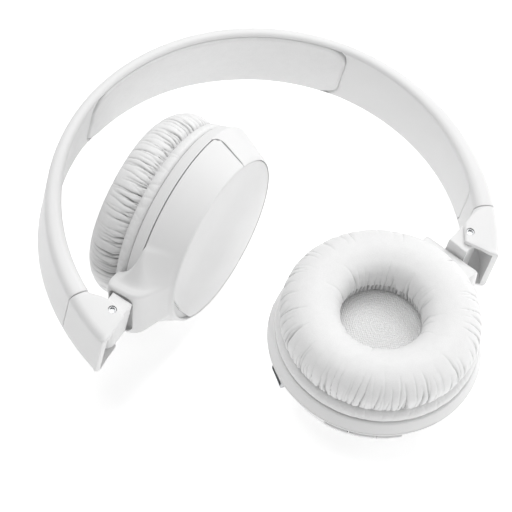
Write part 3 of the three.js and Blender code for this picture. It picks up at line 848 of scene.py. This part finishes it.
def make_cushion(side, seed):
    rng = np.random.default_rng(seed)
    path, under = cushion_loop()
    reach = np.concatenate([[0], np.cumsum(np.linalg.norm(np.diff(path, axis=0), axis=1))])
    normals = np.gradient(path, axis=0)
    normals = np.stack([-normals[:, 1], normals[:, 0]], axis=1)
    normals /= np.linalg.norm(normals, axis=1)[:, None]
    if normals[len(path) // 2, 1] < 0:
        normals = -normals
    angles = np.linspace(0, 2 * math.pi, CUSHION_SIDES, endpoint=False)
    grid_angle, grid_out = np.meshgrid(angles, reach, indexing="ij")
    grid_in = reach[-1] - grid_out
    long_pleats = crease_field(rng, 54, (0.007, 0.013), (0.3, 1.0), (9, 20), 0.004)
    seam_gathers = crease_field(rng, 150, (0.006, 0.012), (0.2, 0.6), (3, 8), 0.01)
    hole_pleats = crease_field(rng, 40, (0.014, 0.032), (0.15, 0.6), (9, 19), 0.012)
    hole_gathers = crease_field(rng, 84, (0.008, 0.017), (0.2, 0.6), (6, 15), 0.008)
    fine_lines = crease_field(rng, 90, (0.004, 0.007), (0.3, 1.0), (9, 20), 0.004)
    dents = creases_at(long_pleats, grid_angle, grid_out) + creases_at(seam_gathers, grid_angle, grid_out)
    dents += creases_at(fine_lines, grid_angle, grid_out)
    dents += creases_at(hole_pleats, grid_angle, grid_in) + creases_at(hole_gathers, grid_angle, grid_in)
    dents += 0.3 * (1 - np.cos(BINDING_STITCHES * grid_angle)) * (1 - smoothstep(2.5, 4.5, grid_in))
    edge = smoothstep(0, 1.2, grid_out) * smoothstep(0, 1.2, grid_in)
    swell = 0.25 * np.sin(3 * grid_angle + 1.1) * np.sin(math.pi * grid_out / reach[-1])
    shift = swell + 0.35 - dents * (0.3 + 0.7 * edge)
    loops = []
    for i, angle in enumerate(angles):
        section = path + normals * shift[i][:, None]
        section = np.vstack([section, under])
        loops.append(round_cup(section[:, 0], section[:, 1], angle))
    cushion = piece(f"ear_pad_{side}", *loft(loops), CUP[side], LEATHER, f"{side}_cup",
                    [f"ear_cushion_{side}"], "leatherette", sharp=60)
    # Painted shade mask: how dark each point is painted, from how deep it lies in a fold.
    shade = np.hstack([np.clip((dents - 0.15) / 0.9, 0, 1), np.zeros((len(angles), len(under)))])
    store_fold_shade(cushion, shade)
    return cushion


def make_skirt(side, seed):
    rng = np.random.default_rng(seed)
    outline = rounded([(33.4, 0.3), (36.2, 0.3), (36.9, 1.6), (36.5, 3.6), (35.2, 4.9), (33.4, 5.0)],
                      [0.1, 0.6, 1.2, 1.2, 0.6, 0.1], 7)
    outline = resampled(outline, 44, closed=True)
    angles = np.linspace(0, 2 * math.pi, CUSHION_SIDES, endpoint=False)
    height = np.clip(outline[:, 1], 0, 5)
    loops = []
    creases = crease_field(rng, 90, (0.01, 0.022), (0.08, 0.4), (3, 7), 0.012)
    for angle in angles:
        dent = creases_at(creases, np.full(len(outline), angle), 5 - height)
        radius = outline[:, 0] - dent * smoothstep(34.5, 35.8, outline[:, 0])
        loops.append(round_cup(radius, outline[:, 1], angle))
    skirt = piece(f"pad_skirt_{side}", *loft(loops), CUP[side], LEATHER, f"{side}_cup",
                  [f"cushion_skirt_{side}"], "leatherette", sharp=60)
    return skirt


def make_driver_cloth(side):
    """The cloth disc that is stretched flat over the driver's grille."""
    profile = rounded([(0.01, 4.72), (CLOTH_RADIUS, 4.66), (CLOTH_RADIUS, 4.4), (0.01, 4.4)],
                      [0, 0.1, 0.1, 0], 4)
    disc = piece(f"driver_mesh_{side}", *turned(profile, 96), CUP[side], CLOTH, f"{side}_cup",
                 [f"driver_cloth_{side}"], "cloth", sharp=40)
    return disc


def make_cup(side):
    seed = CUSHION_SEEDS[side]
    make_cover(side)
    make_ring(side)
    make_face_plate(side)
    make_driver_cloth(side)
    make_cushion(side, seed)
    make_skirt(side, seed + 1)


# ---------- sliders, pins, knuckles and controls ----------
def track_point(degrees, depth):
    angle = math.radians(degrees)
    return np.array([(BAND_RADIUS - depth) * math.sin(angle), (BAND_RADIUS - depth) * math.cos(angle)])


def housing_depth(degrees):
    """How deep the slider housing is: it widens from the seam to the hinge, then runs out to its tip."""
    base = float(band_thickness(degrees))
    widened = base + (BOSS_DEPTH - base) * float(smoothstep(SLIDER_START - 0.5, PIN_ANGLE - 1.6, degrees))
    tail = float(smoothstep(BOSS_END, SLIDER_END + 0.6, degrees))
    return widened + (TIP_DEPTH - widened) * tail ** 0.8


def housing_section(degrees, pull):
    """The housing's closed section as (depth, across), drawn in by a little near its ends."""
    deep, half = housing_depth(degrees), CROWN_HALF_WIDTH
    outer_radius = min(edge_radius(SLIDER_START), 0.45 * deep)
    inner_radius = min(EDGE_SOFTENING + (outer_radius - EDGE_SOFTENING)
                       * (1 - float(smoothstep(SLIDER_START, SLIDER_START + 3, degrees))), 0.45 * deep)
    turns = np.linspace(0, math.pi / 2, 8)
    side = [(0.0, share * (half - outer_radius)) for share in (0.0, 0.35, 0.7)]
    side += [(outer_radius - outer_radius * math.cos(t), half - outer_radius + outer_radius * math.sin(t))
             for t in turns]
    low, wide = deep - inner_radius, half - inner_radius
    side += [(low + inner_radius * math.sin(t), wide + inner_radius * math.cos(t)) for t in turns]
    side += [(deep, share * (half - inner_radius)) for share in (0.6, 0.0)]
    mirrored = [(depth, -across) for depth, across in reversed(side)][1:-1]
    section = np.array(side + mirrored)
    middle = np.array([deep / 2, 0.0])
    return middle + (section - middle) * np.array([1 - 2 * pull / deep, 1 - pull / half])


def slider_rings():
    rings = []
    for degrees in np.linspace(SLIDER_START, SLIDER_END, 70):
        pull = 0.12 * end_rounded(SLIDER_START - degrees, 0, 0.12) if degrees < SLIDER_START + 0.12 else 0.0
        pull += 0.5 * end_rounded(degrees, SLIDER_END, 0.5)
        rings.append(band_section(-degrees, housing_section(degrees, pull)))
    return rings


def slot_cutter():
    """The space between the slider's side walls, where the knuckle folds."""
    half = float(band_half_width(-26.0)) - SLIDER_SIDE_WALL
    track = np.linspace(SLOT_START, SLIDER_END + 8, 14)
    outer = [track_point(-degrees, SLIDER_OUTER_WALL) for degrees in track]
    inner = [track_point(-degrees, 30) for degrees in (SLIDER_END + 8, SLOT_START)]
    outline = np.array(outer + inner)
    rings = []
    for z, inset in ((-half, 2.4), (-half + 0.5, 1.1), (-half + 1.4, 0.3), (-half + 2.6, 0), (half - 2.6, 0),
                     (half - 1.4, 0.3), (half - 0.5, 1.1), (half, 2.4)):
        plan = outline.copy()
        for index in (0, -1):
            toward = outline[1 if index == 0 else -2] - outline[index]
            plan[index] = outline[index] + toward / np.linalg.norm(toward) * inset
        rings.append(np.column_stack([plan, np.full(len(plan), z)]))
    return cutter_object("slot_cutter", *loft(rings, wrap=False))


def rod_cutter(radius, low, high, centre, sides=48):
    angles = np.linspace(0, 2 * math.pi, sides, endpoint=False)
    ring = np.stack([centre[0] + radius * np.cos(angles), centre[1] + radius * np.sin(angles)], axis=1)
    rings = [np.column_stack([ring, np.full(sides, z)]) for z in (low, high)]
    return cutter_object("rod_cutter", *loft(rings, wrap=False))


def make_slider(side):
    housing = piece(f"slider_body_{side}", *loft(slider_rings(), wrap=False), SIDE[side], SHELL, None)
    pin = track_point(-PIN_ANGLE, PIN_DEPTH)
    for cutter in (slot_cutter(), rod_cutter(PIN_RADIUS + 0.08, -20, 20, pin)):
        cutter.matrix_world = SIDE[side]
        cut(housing, cutter)
    smooth(housing.data, 38)
    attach(housing, f"{side}_slider")
    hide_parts(f"slider_housing_{side}")


def make_pin(side):
    """The tubular hinge pin, open at both ends."""
    centre = track_point(-PIN_ANGLE, PIN_DEPTH)
    half = float(band_half_width(centre[1])) - PIN_SINK
    bottom = half - PIN_BORE_DEPTH
    profile = rounded([(0.01, -bottom), (PIN_BORE, -bottom), (PIN_BORE, -half), (PIN_RADIUS, -half),
                       (PIN_RADIUS, half), (PIN_BORE, half), (PIN_BORE, bottom), (0.01, bottom)],
                      [0, 0.1, 0.15, 0.25, 0.25, 0.15, 0.1, 0], 4)
    rings = []
    for turn in np.linspace(0, 2 * math.pi, 40, endpoint=False):
        rings.append(np.column_stack([centre[0] + profile[:, 0] * math.cos(turn),
                                      centre[1] + profile[:, 0] * math.sin(turn), profile[:, 1]]))
    piece(f"hinge_pin_{side}", *loft(rings), SIDE[side], STEEL, f"{side}_slider",
          [f"fold_pin_{side}"], "steel")


def soften(node, width, angle=28):
    """Rounds a carried-over CAD node's edges."""
    thing = frame["nodes"][node]
    add_modifier(thing, "BEVEL", width=width * MM, segments=3, limit_method="ANGLE",
                 angle_limit=math.radians(angle), harden_normals=True)
    thing.data.polygons.foreach_set("use_smooth", [True] * len(thing.data.polygons))
    add_modifier(thing, "WEIGHTED_NORMAL", keep_sharp=True)


def make_hardware():
    for side in ("left", "right"):
        make_slider(side)
        make_pin(side)
        soften(f"knuckle_{side}", 0.25)
    for control in BUTTONS:
        soften(control, 0.35)


# ---------- studio ----------
CAMERA_TARGET = Vector((-0.0067, 0.0072, 0.0054))
CAMERA_DISTANCE = 1.1165
CAMERA_AZIMUTH = 6.6186
CAMERA_ELEVATION = 55.5395
CAMERA_ROLL = -7.9308
CAMERA_LENS = 210.94
CAMERA_SENSOR = 36.0
FLOOR_HALF = 6.0
FLOOR_DROP = 0.0003
WORLD_STRENGTH = 0.46
LIGHTS = (("key", (0.75, 0.95, 1.2), 0.8, 9.5), ("top", (-0.1, 0.3, 1.5), 1.2, 8.0),
          ("fill", (1.5, -0.15, 0.4), 0.9, 4.5))


def make_camera():
    azimuth, elevation = math.radians(CAMERA_AZIMUTH), math.radians(CAMERA_ELEVATION)
    back = Vector((math.sin(azimuth) * math.cos(elevation), -math.cos(azimuth) * math.cos(elevation),
                   math.sin(elevation)))
    data = bpy.data.cameras.new("camera")
    data.lens = CAMERA_LENS
    data.sensor_width = CAMERA_SENSOR
    data.clip_end = 20
    camera = bpy.data.objects.new("camera", data)
    bpy.context.scene.collection.objects.link(camera)
    turn = (-back).to_track_quat("-Z", "Y").to_matrix().to_4x4()
    roll = Matrix.Rotation(math.radians(CAMERA_ROLL), 4, "Z")
    camera.matrix_world = Matrix.Translation(CAMERA_TARGET + back * CAMERA_DISTANCE) @ turn @ roll
    bpy.context.scene.camera = camera


def make_light(name, position, size, power, target=(0, 0, 0.02)):
    data = bpy.data.lights.new(name, "AREA")
    data.shape = "DISK"
    data.size = size
    data.energy = power
    light = bpy.data.objects.new(name, data)
    light.location = position
    light.rotation_mode = "QUATERNION"
    light.rotation_quaternion = (Vector(target) - Vector(position)).to_track_quat("-Z", "Y")
    bpy.context.scene.collection.objects.link(light)


def make_studio():
    floor_material, _, shader = node_tree("studio_floor")
    shader.inputs["Base Color"].default_value = (0.93, 0.93, 0.93, 1)
    shader.inputs["Roughness"].default_value = 0.95
    shader.inputs["Emission Color"].default_value = (1, 1, 1, 1)
    shader.inputs["Emission Strength"].default_value = 0.4
    mesh = bpy.data.meshes.new("floor")
    half = FLOOR_HALF
    corners = [(-half, -half, 0), (half, -half, 0), (half, half, 0), (-half, half, 0)]
    mesh.from_pydata(corners, [], [(0, 1, 2, 3)])
    mesh.materials.append(floor_material)
    floor = bpy.data.objects.new("studio_floor", mesh)
    floor.location.z = -FLOOR_DROP
    bpy.context.scene.collection.objects.link(floor)
    floor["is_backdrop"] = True
    world = bpy.data.worlds.new("studio")
    world.use_nodes = True
    background = world.node_tree.nodes["Background"]
    background.inputs["Color"].default_value = (1, 1, 1, 1)
    background.inputs["Strength"].default_value = WORLD_STRENGTH
    bpy.context.scene.world = world
    for light in LIGHTS:
        make_light(*light)
    bpy.context.scene.view_settings.view_transform = "Standard"


def settle():
    """Puts each built piece's place into its mesh, so that boxes are tight. The cloth keeps its own axes."""
    bpy.context.view_layer.update()
    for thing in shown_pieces():
        if thing.name in frame["nodes"] or CLOTH.name in thing.data.materials:
            continue
        thing.data.transform(thing.matrix_world)
        thing.matrix_world = Matrix.Identity(4)


make_headband()
make_cup("left")
make_cup("right")
make_hardware()
make_camera()
make_studio()
settle()
